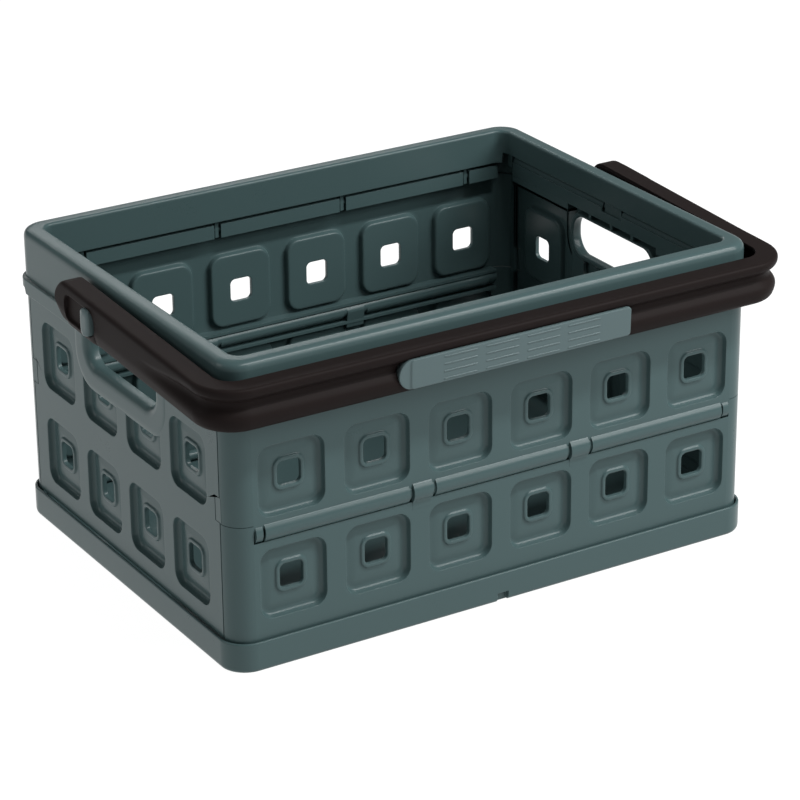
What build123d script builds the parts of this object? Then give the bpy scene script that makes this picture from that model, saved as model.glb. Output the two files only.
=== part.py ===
"""Collapsible storage crate with a swinging carry handle, in millimetres.

The origin is the centre of the underside. X runs along the crate, -Y is the front and +Z is up.
Two half-height panels make each long wall, and fold inward on three parallel hinge lines between
the base tray and the top frame. Each end panel hangs from the top frame and swings in and up.
"""

import os

from build123d import *

os.makedirs("parts", exist_ok=True)

# Overall size
length = 480.0
width = 360.0
height = 252.0
corner_radius = 22.0
half_x = length / 2
half_y = width / 2

# Moulded walls
skin = 2.5
wall_inset = 3.5
wall_x = half_x - wall_inset
wall_y = half_y - wall_inset
wall_radius = corner_radius - wall_inset
wrap_edge_y = 159.0
running_gap = 0.5

# Base tray
tray_height = 25.0
floor_bottom = 6.0
floor_top = 8.5
tray_rib = 4.0
centre_notch = 10.0

# Hinge lines of the long walls: at the tray, halfway up, and at the frame
tray_hinge_y, tray_hinge_z, tray_hinge_radius = 170.0, 13.5, 4.5
mid_hinge_y, mid_hinge_z, mid_hinge_radius = 170.0, 114.0, 6.5
top_hinge_y, top_hinge_z, top_hinge_radius = 168.5, 214.5, 5.0
hinge_pin_radius = 3.0
pin_gap = 0.1
hinge_half_length = 222.0
knuckle_columns = (-185.0, -60.5, 60.5, 185.0)
clip_columns = (-73.0, 73.0)
clip_length = 22.0
lug_length = 5.0
lug_reach = 5.5
halves_seam_z = 120.0
seam = 0.5

# Embossed squares
column_pitch_x = 74.0
column_pitch_y = 73.5
lower_row_z = 72.0
upper_row_z = 156.0
boss_x, boss_z, boss_radius = 58.0, 66.0, 12.0
recess_margin = 1.5
recess_depth = 4.0
eye_size, eye_radius = 22.0, 4.0
eye_ring = 3.0
eye_ring_rise = 1.2

# Top frame
frame_inset = 3.0
band_top = 211.0
band_bottom = 203.0
end_band_bottom = 198.0
rim_width = 15.3
rim_round = 6.0
channel_top = 247.0
long_skirt_bottom = 222.3
end_skirt_bottom = 231.5

# End panels
end_hinge_x, end_hinge_z, end_barrel_radius = 229.5, 225.0, 4.5
end_half_width = wrap_edge_y - running_gap
end_flange_y = 161.2
end_bottom = 27.5
end_hinge_half = 150.0
strip_inner_x, strip_outer_x = 224.0, 233.5
tab_depth = 6.5
tab_bottom, tab_top = 121.0, 141.0
grip_hole_y, grip_hole_z, grip_hole_radius = 110.0, 34.0, 15.0
grip_centre_z = 189.0
grip_tube_inner_x = 222.0
surround_y, surround_z = 158.0, 76.0

# Carry handle, laid forward
pivot_z = 231.0
bail_inner_x, bail_inner_y = 243.0, 181.5
bail_depth, bail_height = 18.0, 38.0
bail_corner = 34.0
bail_tilt = 2.3
arm_tail = 57.0
arm_block_front = -32.0
pocket_depth, pocket_half_height, pocket_rear = 4.0, 13.5, 41.0
stud_radius, stud_bore_gap = 6.0, 0.05
knob_y, knob_z, knob_rise = 15.0, 24.0, 6.2
pad_half_length = 104.0
pad_low, pad_high = -13.0, 11.0
pad_rise = 1.6


def long_columns():
    """X of the six squares along a long wall."""
    return [column_pitch_x * (i - 2.5) for i in range(6)]


def end_columns():
    """Y of the four squares across an end."""
    return [column_pitch_y * (i - 1.5) for i in range(4)]


def knuckle_gaps(half_gap, columns):
    """Stretches of the hinge line between the gaps at the given columns, as (start, end) pairs."""
    edges = [-hinge_half_length]
    for column in columns:
        edges += [column - half_gap, column + half_gap]
    edges.append(hinge_half_length)
    return list(zip(edges[0::2], edges[1::2]))


def rod(start, end, y, z, radius, mode=Mode.ADD):
    """Adds a round bar along X from start to end inside the open part."""
    with BuildSketch(Plane.YZ.offset(start)) as profile:
        with Locations((y, z)):
            Circle(radius)
    extrude(profile.sketch, amount=end - start, mode=mode)


def front_square(x, z):
    """Adds one embossed square to the front wall: an inner boss, an outer recess and a ringed eye."""
    face = -wall_y
    with BuildSketch(Plane.XZ.offset(-(face + skin))) as profile:
        with Locations((x, z)):
            RectangleRounded(boss_x, boss_z, boss_radius)
    extrude(profile.sketch, amount=-recess_depth)
    with BuildSketch(Plane.XZ.offset(-face)) as profile:
        with Locations((x, z)):
            RectangleRounded(boss_x - 2 * recess_margin, boss_z - 2 * recess_margin, boss_radius - recess_margin)
    extrude(profile.sketch, amount=-recess_depth, mode=Mode.SUBTRACT)
    with BuildSketch(Plane.XZ.offset(-(face + recess_depth))) as profile:
        with Locations((x, z)):
            RectangleRounded(eye_size + 2 * eye_ring, eye_size + 2 * eye_ring, eye_radius + eye_ring)
    extrude(profile.sketch, amount=eye_ring_rise)
    with BuildSketch(Plane.XZ.offset(-face)) as profile:
        with Locations((x, z)):
            RectangleRounded(eye_size, eye_size, eye_radius)
    extrude(profile.sketch, amount=-(recess_depth + 2 * skin), mode=Mode.SUBTRACT)


def right_square(y, z, boss_only):
    """Adds one embossed square to the right end panel; boss_only leaves the recess and eye for later."""
    if boss_only:
        with BuildSketch(Plane.YZ.offset(wall_x - skin)) as profile:
            with Locations((y, z)):
                RectangleRounded(boss_x, boss_z, boss_radius)
        extrude(profile.sketch, amount=-recess_depth)
        return
    with BuildSketch(Plane.YZ.offset(wall_x)) as profile:
        with Locations((y, z)):
            RectangleRounded(boss_x - 2 * recess_margin, boss_z - 2 * recess_margin, boss_radius - recess_margin)
    extrude(profile.sketch, amount=-recess_depth, mode=Mode.SUBTRACT)
    with BuildSketch(Plane.YZ.offset(wall_x - recess_depth)) as profile:
        with Locations((y, z)):
            RectangleRounded(eye_size + 2 * eye_ring, eye_size + 2 * eye_ring, eye_radius + eye_ring)
    extrude(profile.sketch, amount=eye_ring_rise)
    with BuildSketch(Plane.YZ.offset(wall_x)) as profile:
        with Locations((y, z)):
            RectangleRounded(eye_size, eye_size, eye_radius)
    extrude(profile.sketch, amount=-(recess_depth + 2 * skin), mode=Mode.SUBTRACT)


def front_shell(bottom, top):
    """Extrudes the front wall's plan, a plate that wraps round both corners, from bottom to top."""
    with BuildSketch(Plane.XY.offset(bottom)) as profile:
        RectangleRounded(2 * wall_x, 2 * wall_y, wall_radius)
        RectangleRounded(2 * (wall_x - skin), 2 * (wall_y - skin), wall_radius - skin, mode=Mode.SUBTRACT)
        with Locations((0, -(wall_y + wrap_edge_y) / 2)):
            Rectangle(length, wall_y - wrap_edge_y, mode=Mode.INTERSECT)
    extrude(profile.sketch, amount=top - bottom)


def box_between(low, high, mode=Mode.ADD):
    """Adds an upright block between two opposite corners inside the open part."""
    with BuildSketch(Plane.XY.offset(low[2])) as profile:
        with Locations(((low[0] + high[0]) / 2, (low[1] + high[1]) / 2)):
            Rectangle(high[0] - low[0], high[1] - low[1])
    extrude(profile.sketch, amount=high[2] - low[2], mode=mode)


# ---------------------------------------------------------------- base tray
with BuildPart() as base_tray:
    with BuildSketch():
        RectangleRounded(length, width, corner_radius)
    extrude(amount=tray_height)
    fillet(base_tray.faces().sort_by(Axis.Z)[0].edges(), 3.0)
    with BuildSketch(Plane.XY.offset(floor_top)):
        RectangleRounded(length - 2 * skin, width - 2 * skin, corner_radius - skin)
    extrude(amount=tray_height - floor_top, mode=Mode.SUBTRACT)
    with BuildSketch():
        with GridLocations(column_pitch_x, 84, 6, 4):
            RectangleRounded(column_pitch_x - tray_rib, 84 - tray_rib, 8)
    extrude(amount=floor_bottom, mode=Mode.SUBTRACT)
    for side in (-1, 1):
        notch_y = side * half_y
        box_between((-centre_notch / 2, notch_y - 3, 0), (centre_notch / 2, notch_y + 3, 8.0), Mode.SUBTRACT)
        for column in knuckle_columns:
            lug_y = side * tray_hinge_y
            box_between(
                (column - lug_length, lug_y - lug_reach, floor_top - 1),
                (column + lug_length, lug_y + lug_reach, tray_hinge_z + 5.0),
            )
            rod(column - 8, column + 8, lug_y, tray_hinge_z, hinge_pin_radius + pin_gap, Mode.SUBTRACT)

# ---------------------------------------------------------------- long walls
with BuildPart() as front_lower_panel:
    front_shell(tray_hinge_z - 2.0, halves_seam_z)
    hinge_floor = mid_hinge_z - mid_hinge_radius - seam
    box_between(
        (-hinge_half_length - seam, -half_y, hinge_floor),
        (hinge_half_length + seam, -wrap_edge_y, halves_seam_z + 1),
        Mode.SUBTRACT,
    )
    for x in long_columns():
        front_square(x, lower_row_z)
    box_between((-hinge_half_length, -wall_y + 1, hinge_floor - 2.5), (hinge_half_length, -165.0, hinge_floor))
    for start, end in knuckle_gaps(lug_length + seam, knuckle_columns):
        rod(start, end, -tray_hinge_y, tray_hinge_z, tray_hinge_radius)
    rod(-hinge_half_length, hinge_half_length, -tray_hinge_y, tray_hinge_z, hinge_pin_radius)
    for column in knuckle_columns:
        reach = lug_length + seam
        slot_rear = -tray_hinge_y - 3.5
        box_between((column - reach, -half_y, 0), (column + reach, slot_rear, tray_hinge_z + lug_reach), Mode.SUBTRACT)
    for column in clip_columns:
        half = clip_length / 2
        rod(column - half, column + half, -mid_hinge_y, mid_hinge_z, mid_hinge_radius)
        box_between(
            (column - half, -mid_hinge_y - mid_hinge_radius, hinge_floor - 2),
            (column + half, -mid_hinge_y + 3.0, mid_hinge_z),
        )
        bore = hinge_pin_radius + pin_gap
        rod(column - half, column + half, -mid_hinge_y, mid_hinge_z, bore, Mode.SUBTRACT)

with BuildPart() as front_upper_panel:
    front_shell(halves_seam_z + seam, band_bottom - seam)
    for x in long_columns():
        front_square(x, upper_row_z)
    box_between((-hinge_half_length, -wall_y, mid_hinge_z), (hinge_half_length, -wall_y + skin, halves_seam_z + 1))
    box_between((-hinge_half_length, -wall_y + 1, 119.0), (hinge_half_length, -165.0, 121.5))
    for start, end in knuckle_gaps(clip_length / 2 + seam, clip_columns):
        rod(start, end, -mid_hinge_y, mid_hinge_z, mid_hinge_radius)
    for column in clip_columns:
        half = clip_length / 2 + seam
        box_between((column - half, -half_y, 105), (column + half, -162, halves_seam_z + 1.7), Mode.SUBTRACT)
    rod(-hinge_half_length, hinge_half_length, -mid_hinge_y, mid_hinge_z, hinge_pin_radius)
    box_between(
        (-hinge_half_length, -wall_y + 0.5, band_bottom - 4),
        (hinge_half_length, -wall_y + 0.5 + skin, band_bottom + 1),
    )
    box_between((-hinge_half_length, -174.0, band_bottom - 1), (hinge_half_length, -171.0, top_hinge_z))
    for column in knuckle_columns:
        reach = lug_length / 2 + seam
        box_between((column - reach, -half_y, 207), (column + reach, -162, top_hinge_z + 6), Mode.SUBTRACT)
    for start, end in knuckle_gaps(lug_length / 2 + seam, knuckle_columns):
        rod(start, end, -top_hinge_y, top_hinge_z, top_hinge_radius)
    rod(-hinge_half_length, hinge_half_length, -top_hinge_y, top_hinge_z, hinge_pin_radius)
    for side in (-1, 1):
        inner, outer = sorted((side * (wall_x - skin), side * wall_x))
        box_between((inner, -wrap_edge_y - 1, tab_bottom), (outer, -wrap_edge_y + tab_depth, tab_top))

with BuildPart() as back_lower_panel:
    mirror(front_lower_panel.part, about=Plane.XZ)

with BuildPart() as back_upper_panel:
    mirror(front_upper_panel.part, about=Plane.XZ)

# ---------------------------------------------------------------- top frame
skirt_x, skirt_y = half_x - frame_inset, half_y - frame_inset
skirt_radius = corner_radius - frame_inset
rim_in_x, rim_in_y = skirt_x - rim_width, skirt_y - rim_width
rim_in_radius = 10.0
with BuildPart() as top_frame:
    with BuildSketch(Plane.XY.offset(band_top - 2)):
        RectangleRounded(2 * skirt_x, 2 * skirt_y, skirt_radius)
    extrude(amount=height - band_top + 2)
    with BuildSketch(Plane.XY.offset(band_top - 2)):
        RectangleRounded(2 * rim_in_x, 2 * rim_in_y, rim_in_radius)
    extrude(amount=height - band_top + 2, mode=Mode.SUBTRACT)
    fillet(top_frame.faces().sort_by(Axis.Z)[-1].edges(), rim_round)
    with BuildSketch(Plane.XY.offset(band_top - 2)):
        RectangleRounded(2 * (skirt_x - skin), 2 * (skirt_y - skin), skirt_radius - skin)
        RectangleRounded(2 * (rim_in_x + skin), 2 * (rim_in_y + skin), rim_in_radius + skin, mode=Mode.SUBTRACT)
    extrude(amount=channel_top - band_top + 2, mode=Mode.SUBTRACT)
    box_between(
        (-rim_in_x + 8, -half_y + 10, band_top - 3), (rim_in_x - 8, half_y - 10, long_skirt_bottom), Mode.SUBTRACT
    )
    for side in (-1, 1):
        inner, outer = sorted((side * (rim_in_x - 9), side * (rim_in_x + skin + 1)))
        reach_y = rim_in_y + skin
        box_between((inner, -reach_y, band_top - 3), (outer, reach_y, end_skirt_bottom), Mode.SUBTRACT)
    with BuildSketch(Plane.XY.offset(band_bottom)):
        RectangleRounded(length, width, corner_radius)
        RectangleRounded(length - 2 * skin, width - 2 * skin, corner_radius - skin, mode=Mode.SUBTRACT)
    extrude(amount=band_top - band_bottom)
    with BuildSketch(Plane.XY.offset(band_top - 2)):
        RectangleRounded(length, width, corner_radius)
        RectangleRounded(2 * (skirt_x - skin), 2 * (skirt_y - skin), skirt_radius - skin, mode=Mode.SUBTRACT)
    extrude(amount=2)
    for side in (-1, 1):
        inner, outer = sorted((side * (half_x - skin), side * half_x))
        reach_y = half_y - corner_radius
        box_between((inner, -reach_y, end_band_bottom), (outer, reach_y, band_top - 1))
        for column in knuckle_columns:
            near, far = sorted((side * (rim_in_y + 0.3), side * (skirt_y - 1)))
            half = lug_length / 2
            box_between((column - half, near, top_hinge_z - 5.5), (column + half, far, channel_top + 1))
            bore = hinge_pin_radius + pin_gap
            rod(column - half, column + half, side * top_hinge_y, top_hinge_z, bore, Mode.SUBTRACT)
    for side in (-1, 1):
        near, far = sorted((side * strip_inner_x, side * (skirt_x - 1)))
        for edge in (-1, 1):
            low, high = sorted((edge * (end_hinge_half + seam), edge * (end_hinge_half + seam + 6)))
            box_between((near, low, end_hinge_z - 5.5), (far, high, channel_top + 1))
            with BuildSketch(Plane.XZ.offset(-low)):
                with Locations((side * end_hinge_x, end_hinge_z)):
                    Circle(hinge_pin_radius + pin_gap)
            extrude(amount=-(high - low), mode=Mode.SUBTRACT)
        near, far = sorted((side * (end_hinge_x - 3.5), side * (skirt_x - 1)))
        box_between((near, -12, 219), (far, 12, channel_top + 1))
        near, far = sorted((side * (end_hinge_x - 4), side * (half_x + 1)))
        rod(near, far, 0, pivot_z, stud_radius, Mode.SUBTRACT)

# ---------------------------------------------------------------- end panels
with BuildPart() as right_end_panel:
    box_between((wall_x - skin, -end_half_width, end_bottom), (wall_x, end_half_width, 208))
    for row_z in (lower_row_z, upper_row_z):
        for y in end_columns():
            right_square(y, row_z, True)
    for row_z in (lower_row_z, upper_row_z):
        for y in end_columns():
            right_square(y, row_z, False)
    for side in (-1, 1):
        near, far = sorted((side * 155.0, side * end_half_width))
        box_between((230.8, near, end_bottom), (wall_x, far, 204))
        near, far = sorted((side * 155.0, side * end_flange_y))
        box_between((230.8, near, end_bottom), (233.4, far, 204))
        near, far = sorted((side * (wrap_edge_y - tab_depth - seam), side * half_y))
        box_between((wall_x - skin - seam, near, tab_bottom - seam), (half_x, far, tab_top + seam), Mode.SUBTRACT)
    box_between((230.8, -158.0, end_bottom), (wall_x, 158.0, end_bottom + 2.5))
    box_between((strip_inner_x, -end_hinge_half, 205), (wall_x - 2.3, end_hinge_half, 208.5))
    box_between((strip_inner_x, -end_hinge_half, 205), (strip_outer_x, end_hinge_half, end_hinge_z))
    with BuildSketch(Plane.XZ.offset(end_hinge_half)):
        with Locations((end_hinge_x, end_hinge_z)):
            Circle(end_barrel_radius)
    extrude(amount=-2 * end_hinge_half)
    with BuildSketch(Plane.XZ.offset(end_hinge_half + 6)):
        with Locations((end_hinge_x, end_hinge_z)):
            Circle(hinge_pin_radius)
    extrude(amount=-2 * (end_hinge_half + 6))
    box_between((220, -14, 216), (half_x, 14, 232), Mode.SUBTRACT)
    for side in (-1, 1):
        for centre in (45.0, 95.0):
            low, high = sorted((side * (centre - 18), side * (centre + 18)))
            box_between((strip_inner_x - 1, low, 209.5), (strip_outer_x - skin, high, 219), Mode.SUBTRACT)
    with BuildSketch(Plane.YZ.offset(wall_x - skin)):
        with Locations((0, grip_centre_z)):
            RectangleRounded(surround_y, surround_z, 30)
        with Locations((0, 160)):
            Rectangle(2 * wall_y, 90, mode=Mode.INTERSECT)
    extrude(amount=skin)
    with BuildSketch(Plane.YZ.offset(grip_tube_inner_x)):
        with Locations((0, grip_centre_z)):
            RectangleRounded(grip_hole_y + 2 * skin, grip_hole_z + 2 * skin, grip_hole_radius + skin)
    extrude(amount=wall_x - grip_tube_inner_x)
    with BuildSketch(Plane.YZ.offset(grip_tube_inner_x - 1)):
        with Locations((0, grip_centre_z)):
            RectangleRounded(grip_hole_y, grip_hole_z, grip_hole_radius)
    extrude(amount=half_x - grip_tube_inner_x, mode=Mode.SUBTRACT)

with BuildPart() as left_end_panel:
    mirror(right_end_panel.part, about=Plane.YZ)

# ---------------------------------------------------------------- carry handle
half_bail = bail_height / 2
groove_floor = 10.3
bail_wall = 2.6


def bail_outline(place, mode=Mode.ADD):
    """Draws the handle's filled section. place turns (outward, up) into the sketch's coordinates."""
    corners = [
        (0, half_bail),
        (bail_depth, half_bail),
        (bail_depth, 13.5),
        (groove_floor, 7.0),
        (groove_floor, 1.0),
        (bail_depth, -6.0),
        (bail_depth, -half_bail),
        (0, -half_bail),
    ]
    with BuildSketch(mode=Mode.PRIVATE) as outline:
        with BuildLine():
            Polyline(*[place(u, w) for u, w in corners], close=True)
        make_face()
        for (u, w), radius in zip(corners[1:7], (3.0, 2.0, 2.0, 2.0, 4.0, 6.0)):
            x, y = place(u, w)
            corner = min(outline.vertices(), key=lambda v: abs(v.X - x) + abs(v.Y - y))
            fillet(corner, radius)
    add(outline.sketch, mode=mode)


def bail_hollow():
    """Cuts the open channel that faces the crate out of the section drawn so far."""
    inside, top = bail_depth - bail_wall, half_bail - bail_wall
    floor = groove_floor - bail_wall
    with BuildSketch(mode=Mode.PRIVATE) as hollow:
        with BuildLine():
            Polyline(
                (-1, top), (inside, top), (inside, 14.7), (floor, 8.2),
                (floor, -0.2), (inside, -7.2), (inside, -top), (-1, -top),
                close=True,
            )
        make_face()
    add(hollow.sketch, mode=Mode.SUBTRACT)


with BuildPart() as straight_bail:
    sweep_start = -20.0
    inner_corner = bail_corner - bail_depth
    with BuildLine() as bail_path:
        FilletPolyline(
            (-bail_inner_x, sweep_start, pivot_z),
            (-bail_inner_x, -bail_inner_y, pivot_z),
            (bail_inner_x, -bail_inner_y, pivot_z),
            (bail_inner_x, sweep_start, pivot_z),
            radius=inner_corner,
        )
    arm_plane = Plane(origin=(-bail_inner_x, sweep_start, pivot_z), x_dir=(-1, 0, 0), z_dir=(0, 1, 0))
    with BuildSketch(arm_plane):
        bail_outline(lambda u, w: (u, w))
        bail_hollow()
    sweep()
    for column in range(-180, 181, 60):
        box_between(
            (column - 1, -bail_inner_y - groove_floor + 1.5, pivot_z - half_bail + 2),
            (column + 1, -bail_inner_y - 0.6, pivot_z + half_bail - 2),
        )
    for side in (-1, 1):
        inner, outer = sorted((side * bail_inner_x, side * (bail_inner_x + bail_depth)))
        for rib_y in (-60, -100, -140):
            near, far = sorted((side * (bail_inner_x + 0.6), side * (bail_inner_x + groove_floor - 1.5)))
            box_between((near, rib_y - 1, pivot_z - half_bail + 2), (far, rib_y + 1, pivot_z + half_bail - 2))
        with BuildSketch(Plane.YZ.offset(inner)) as arm_block:
            with Locations(((arm_tail + arm_block_front) / 2, pivot_z)):
                Rectangle(arm_tail - arm_block_front, bail_height)
            fillet(arm_block.vertices().group_by(Axis.Y)[-1], 16.0)
        extrude(amount=bail_depth)
        floor_x = side * (bail_inner_x + bail_depth - pocket_depth)
        near, far = sorted((floor_x, side * (bail_inner_x + bail_depth + 1)))
        with BuildSketch(Plane.YZ.offset(near)):
            with Locations(((pocket_rear - pocket_half_height) / 2, pivot_z)):
                RectangleRounded(pocket_rear + pocket_half_height, 2 * pocket_half_height, pocket_half_height - 0.1)
        extrude(amount=far - near, mode=Mode.SUBTRACT)
        rod(inner - 1, outer + 1, 0, pivot_z, stud_radius + stud_bore_gap, Mode.SUBTRACT)

pivot_line = Axis((0, 0, pivot_z), (1, 0, 0))
with BuildPart() as bail_handle:
    add(straight_bail.part.rotate(pivot_line, bail_tilt))

with BuildPart() as straight_pad:
    with BuildSketch(Plane.YZ.offset(-pad_half_length)):
        middle_y = -bail_inner_y - (groove_floor + bail_depth + pad_rise) / 2
        with Locations((middle_y, pivot_z + (pad_low + pad_high) / 2)):
            Rectangle(bail_depth + pad_rise - groove_floor, pad_high - pad_low)
        bail_outline(lambda u, w: (-bail_inner_y - u, pivot_z + w), Mode.SUBTRACT)
    extrude(amount=2 * pad_half_length)
    for group_x in (-60, -20, 20, 60):
        for line in range(4):
            line_z = pivot_z + 5.5 - 4.5 * line
            face_y = -bail_inner_y - bail_depth - pad_rise
            low, high = line_z - 0.4, line_z + 0.4
            box_between((group_x - 17, face_y - 1, low), (group_x + 17, face_y + 0.6, high), Mode.SUBTRACT)

with BuildPart() as grip_pad:
    add(straight_pad.part.rotate(pivot_line, bail_tilt))

with BuildPart() as right_pivot_stud:
    shank_end = bail_inner_x + bail_depth - pocket_depth + 0.3
    rod(end_hinge_x - 2.5, shank_end, 0, pivot_z, stud_radius)
    rod(skirt_x + 0.05, bail_inner_x - 0.4, 0, pivot_z, 10.0)
    with BuildSketch(Plane.YZ.offset(shank_end)):
        with Locations((0, pivot_z)):
            Ellipse(knob_y / 2, knob_z / 2)
    extrude(amount=knob_rise)
    fillet(right_pivot_stud.faces().sort_by(Axis.X)[-1].edges(), 1.5)

with BuildPart() as left_pivot_stud:
    mirror(right_pivot_stud.part, about=Plane.YZ)

# ---------------------------------------------------------------- files
pieces = {
    "base_tray": base_tray,
    "front_lower_panel": front_lower_panel,
    "front_upper_panel": front_upper_panel,
    "back_lower_panel": back_lower_panel,
    "back_upper_panel": back_upper_panel,
    "top_frame": top_frame,
    "left_end_panel": left_end_panel,
    "right_end_panel": right_end_panel,
    "bail_handle": bail_handle,
    "grip_pad": grip_pad,
    "left_pivot_stud": left_pivot_stud,
    "right_pivot_stud": right_pivot_stud,
}
for name, piece in pieces.items():
    piece.part.label = name
    export_step(piece.part, f"parts/{name}.step")
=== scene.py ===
"""Looks of a collapsible storage crate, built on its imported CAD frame.

Sizes in the classes are millimetres in the CAD frame: X along the crate, -Y its front, Z up.
"""

import logging
import math
from dataclasses import dataclass
from enum import Enum

import bpy
import numpy as np
from mathutils import Matrix, Vector


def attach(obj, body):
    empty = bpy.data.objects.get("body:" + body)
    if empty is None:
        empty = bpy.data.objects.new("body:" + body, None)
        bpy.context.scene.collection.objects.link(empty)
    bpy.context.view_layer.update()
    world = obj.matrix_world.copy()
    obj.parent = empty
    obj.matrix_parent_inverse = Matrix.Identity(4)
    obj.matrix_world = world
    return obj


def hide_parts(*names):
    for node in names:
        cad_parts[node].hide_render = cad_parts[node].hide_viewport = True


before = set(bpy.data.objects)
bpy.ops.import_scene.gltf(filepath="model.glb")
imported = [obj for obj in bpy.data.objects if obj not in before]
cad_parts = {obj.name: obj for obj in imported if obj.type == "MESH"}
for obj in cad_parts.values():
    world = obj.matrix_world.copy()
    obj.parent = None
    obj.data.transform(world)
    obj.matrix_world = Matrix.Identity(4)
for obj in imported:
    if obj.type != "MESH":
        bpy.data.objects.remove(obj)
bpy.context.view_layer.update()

logging.basicConfig(level=logging.INFO, format="%(message)s")
log = logging.getLogger("crate")

MM = 0.001
HALF_X, HALF_Y, HEIGHT = 240.0, 180.0, 252.0
CORNER = 22.0
SKIN = 2.5
WALL_X, WALL_Y = 236.5, 176.5
WALL_CORNER = 18.5
PLAN_ARC, PLAN_STRAIGHT = 16, 6
HINGE_LUGS = (-185.0, -60.5, 60.5, 185.0)
UNDER_RIM = 248.0
PIN_RADIUS, PIN_SIDES = 3.0, 20


class Body(Enum):
    """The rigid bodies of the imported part."""

    CRATE = "crate"
    HANDLE = "handle"
    LEFT = "left_end"
    RIGHT = "right_end"


class Slot(Enum):
    """The record's material slots."""

    CRATE = "crate_plastic"
    HANDLE = "handle_plastic"
    PAD = "pad_plastic"


# ------------------------------------------------------------------ outlines


def span(side: int, near: float, far: float) -> tuple[float, float]:
    """Low and high end of the stretch from near to far on one side, -1 or 1, of the middle."""
    return min(side * near, side * far), max(side * near, side * far)


def gaps(half: float, columns: tuple[float, ...], reach: float) -> list[tuple[float, float]]:
    """The stretches of a run from -half to half that a reach round each column leaves free.

    Args:
        half: half the run's length.
        columns: middles of what interrupts it, in rising order.
        reach: half the width of each interruption.

    Returns:
        Start and end of each stretch.
    """
    edges = [-half] + [column + way for column in columns for way in (-reach, reach)] + [half]
    return list(zip(edges[0::2], edges[1::2]))


def rounded_loop(half_u: float, half_v: float, radius: float, arc: int = 8, straight: int = 4) -> np.ndarray:
    """Closed outline of a rounded rectangle, anticlockwise from the middle of its lower right corner.

    Each side is half a corner arc, an evenly divided straight run and half the next arc, so every
    loop of the same arc and straight has the same number of points and two loops can be skinned.

    Args:
        half_u: half the width.
        half_v: half the height.
        radius: corner radius.
        arc: segments of each corner, an even number.
        straight: segments of each straight run.

    Returns:
        Array of 4 * (arc + straight) points, shape (N, 2).
    """
    turn = np.linspace(0, math.pi / 4, arc // 2 + 1)

    def side(u: float, v: float) -> np.ndarray:
        """One side at distance u, from its lower to its upper corner.

        Args:
            u: distance of the side from the middle.
            v: half the side's length.

        Returns:
            Points, shape (arc + straight, 2).
        """
        run = np.linspace(-(v - radius), v - radius, straight + 1)[1:-1]
        lower = np.stack([u - radius + radius * np.cos(turn[::-1]), radius - v - radius * np.sin(turn[::-1])], 1)
        upper = np.stack([u - radius + radius * np.cos(turn), v - radius + radius * np.sin(turn)], 1)
        return np.concatenate([lower, np.stack([np.full_like(run, u), run], 1), upper[:-1]])

    right, top = side(half_u, half_v), side(half_v, half_u)
    above = np.stack([-top[:, 1], top[:, 0]], 1)
    return np.concatenate([right, above, -right, -above])


def square_loop(low: tuple, high: tuple, segments: int) -> np.ndarray:
    """Closed outline of a plain rectangle with the same layout of points as rounded_loop.

    Args:
        low: lower left corner (u, v).
        high: upper right corner (u, v).
        segments: segments of each side.

    Returns:
        Array of 4 * segments points, shape (4 * segments, 2).
    """
    t = np.arange(segments) / segments
    (u0, v0), (u1, v1) = low, high
    up, over = v0 + t * (v1 - v0), u1 + t * (u0 - u1)
    flat = np.ones(segments)
    sides = [(u1 * flat, up), (over, v1 * flat), (u0 * flat, v0 + v1 - up), (u0 + u1 - over, v0 * flat)]
    return np.concatenate([np.stack(s, 1) for s in sides])


def rounded_section(keys: np.ndarray, reach: np.ndarray, steps: int) -> np.ndarray:
    """Rounds the corners of closed polygons, one polygon for each station.

    Each corner K becomes (1-t)^2 A + 2t(1-t) K + t^2 B, where A and B lie on its two sides at the
    corner's reach, which is cut to 0.48 of the shorter side.

    Args:
        keys: corners, shape (stations, corners, 2).
        reach: tangent length of each corner, shape (corners,).
        steps: segments of each rounded corner.

    Returns:
        Array of shape (stations, corners * (steps + 1), 2).
    """
    back, ahead = np.roll(keys, 1, axis=1) - keys, np.roll(keys, -1, axis=1) - keys
    back_length = np.maximum(np.linalg.norm(back, axis=2), 1e-6)
    ahead_length = np.maximum(np.linalg.norm(ahead, axis=2), 1e-6)
    cut = np.minimum(reach[None, :], 0.48 * np.minimum(back_length, ahead_length))
    start = keys + back * (cut / back_length)[..., None]
    end = keys + ahead * (cut / ahead_length)[..., None]
    t = np.linspace(0, 1, steps + 1)[None, None, :, None]
    curve = (1 - t) ** 2 * start[:, :, None] + 2 * t * (1 - t) * keys[:, :, None] + t**2 * end[:, :, None]
    return curve.reshape(keys.shape[0], -1, 2)


def smooth(t: np.ndarray) -> np.ndarray:
    """Eases a ramp from 0 to 1: three t squared minus two t cubed, held outside that range."""
    t = np.clip(t, 0.0, 1.0)
    return t * t * (3 - 2 * t)


# ------------------------------------------------------------------ meshes


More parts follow.
